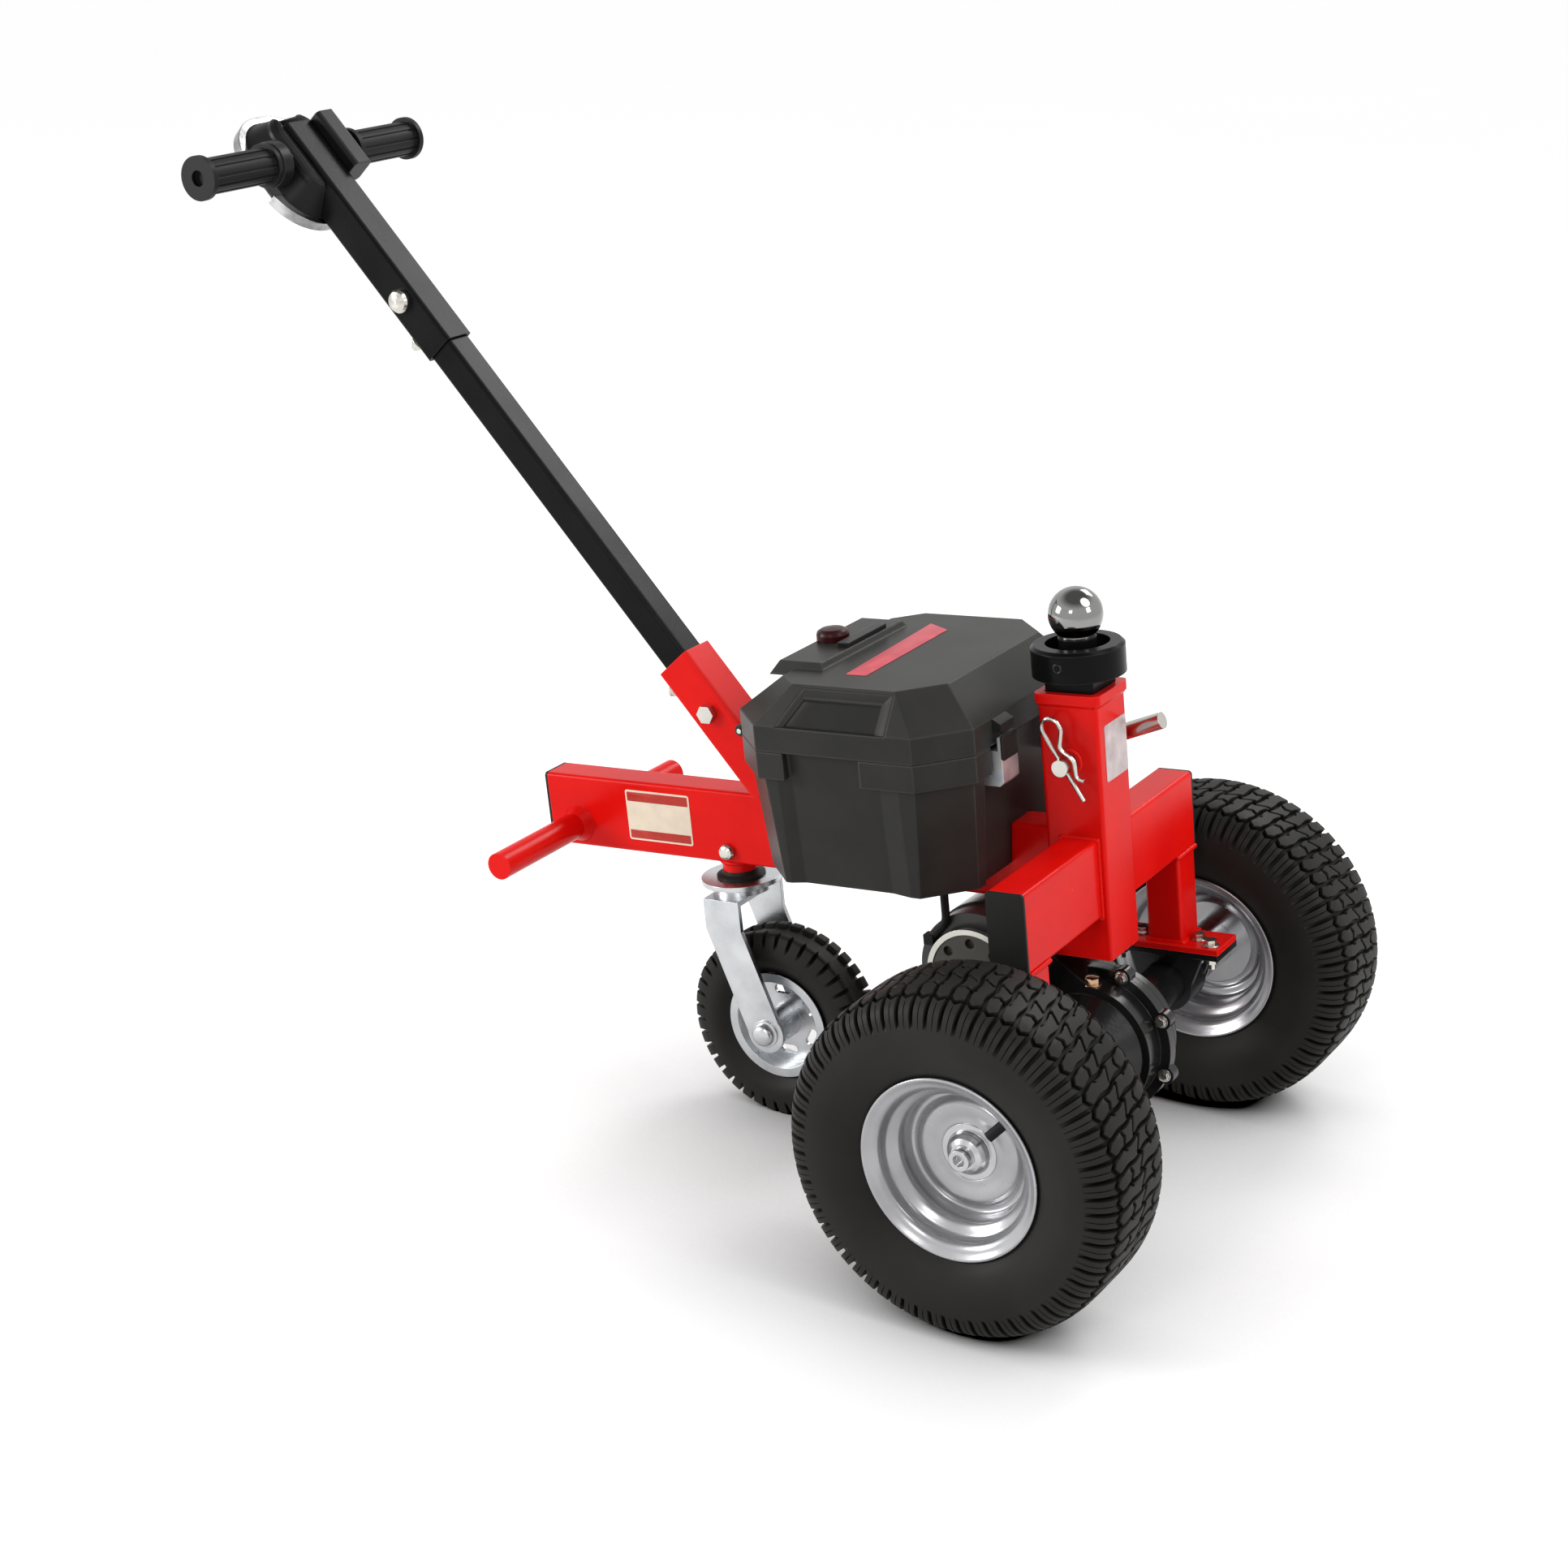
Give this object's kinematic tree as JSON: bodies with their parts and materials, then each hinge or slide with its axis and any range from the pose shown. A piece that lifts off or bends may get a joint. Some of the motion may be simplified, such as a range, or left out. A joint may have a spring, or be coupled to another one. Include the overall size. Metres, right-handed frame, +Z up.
{
  "type": "electric trailer dolly",
  "caption": "Walk-behind electric trailer dolly with driven wheels, rear caster, battery case, T handle and a raised ball hitch on a box-tube frame.",
  "frame": {"origin": "on the floor under the middle of the overall box", "axes": "+X forward to the hitch and drive wheels, +Y to the left, +Z up"},
  "size_m": [1.1492, 0.6348, 0.9834],
  "materials": {
    "battery_black": "black battery case",
    "black_cap_plastic": "moulded black plastic",
    "black_castings": "glossy black paint on castings",
    "black_paint": "satin black powder coat",
    "button_red": "dark red moulded plastic",
    "cable_black": "black cable sheath",
    "case_plastic": "dark grey moulded plastic, fine grain",
    "chrome": "polished chrome",
    "console_plastic": "black moulded plastic",
    "grip_rubber": "ribbed black rubber",
    "guard_chrome": "bright chromed strip",
    "hub_steel": "bright machined steel",
    "motor_bell": "dark end bell with a bright band",
    "motor_grey": "dark grey motor can",
    "red_paint": "glossy red powder coat",
    "rim_silver": "silver grey paint",
    "tyre_rubber": "black tyre rubber",
    "zinc_fork": "pressed steel, zinc plated",
    "zinc_steel": "bright zinc plate"
  },
  "bodies": {
    "chassis": {"main_tube": "red_paint", "rear_cap": "black_cap_plastic", "arm_caps": "black_cap_plastic", "lift_bar": "red_paint", "post": "red_paint", "cross_arm_left": "red_paint", "cross_arm_right": "red_paint", "leg_left": "red_paint", "leg_right": "red_paint", "base_plate_left": "red_paint", "base_plate_right": "red_paint", "axle_bracket_left": "black_castings", "axle_bracket_right": "black_castings", "frame_bolts": "zinc_steel", "gear_case": "black_castings", "axle_tube_left": "black_castings", "axle_tube_right": "black_castings", "drive_motor": "motor_grey", "motor_end_bell": "motor_bell", "motor_band": "zinc_steel", "motor_lead": "cable_black", "battery_case": "case_plastic", "hinge_pins": "zinc_steel", "latches": "zinc_steel", "batteries": "battery_black", "ball_mount_bar": "black_paint", "ball_collar": "black_paint", "hitch_ball": "chrome", "pin_clip": "zinc_steel", "hitch_pin": "zinc_steel", "handle_socket": "red_paint", "handle_lower": "black_paint", "handle_upper": "black_paint", "handlebar": "black_paint", "grip_left": "grip_rubber", "grip_right": "grip_rubber", "console": "console_plastic", "console_rim": "guard_chrome", "throttle": "console_plastic", "handle_bolts": "zinc_steel", "caster_boss": "red_paint", "caster_disc": "zinc_fork"},
    "lid": {"lid": "case_plastic", "stop_button": "button_red", "lid_handle": "console_plastic", "lid_catches": "black_cap_plastic"},
    "wheel_left": {"tyre_left": "tyre_rubber", "rim_left": "rim_silver", "hub_left": "hub_steel"},
    "wheel_right": {"tyre_right": "tyre_rubber", "rim_right": "rim_silver", "hub_right": "hub_steel"},
    "caster": {"caster_fork": "zinc_fork", "caster_axle": "zinc_steel"},
    "caster_wheel": {"caster_tyre": "tyre_rubber", "caster_rim": "zinc_fork"}
  },
  "joints": [
    {"name": "wheel_left_spin", "type": "hinge", "parent": "chassis", "child": "wheel_left", "pos_m": [0.40958, 0.2574, 0.165], "axis": [0, 1, 0], "continuous": true},
    {"name": "wheel_right_spin", "type": "hinge", "parent": "chassis", "child": "wheel_right", "pos_m": [0.40958, -0.2574, 0.165], "axis": [0, 1, 0], "continuous": true},
    {"name": "caster_swivel", "type": "hinge", "parent": "chassis", "child": "caster", "pos_m": [0.00362, 0, 0.23605], "axis": [-0.0893, 0, 0.996], "continuous": true},
    {"name": "caster_wheel_spin", "type": "hinge", "parent": "caster", "child": "caster_wheel", "pos_m": [0.05397, 0, 0.1], "axis": [0, 1, 0], "continuous": true},
    {"name": "lid_hinge", "type": "hinge", "parent": "chassis", "child": "lid", "pos_m": [0.06912, 0, 0.44633], "axis": [0, -1, 0], "range_deg": [0, 95]}
  ]
}
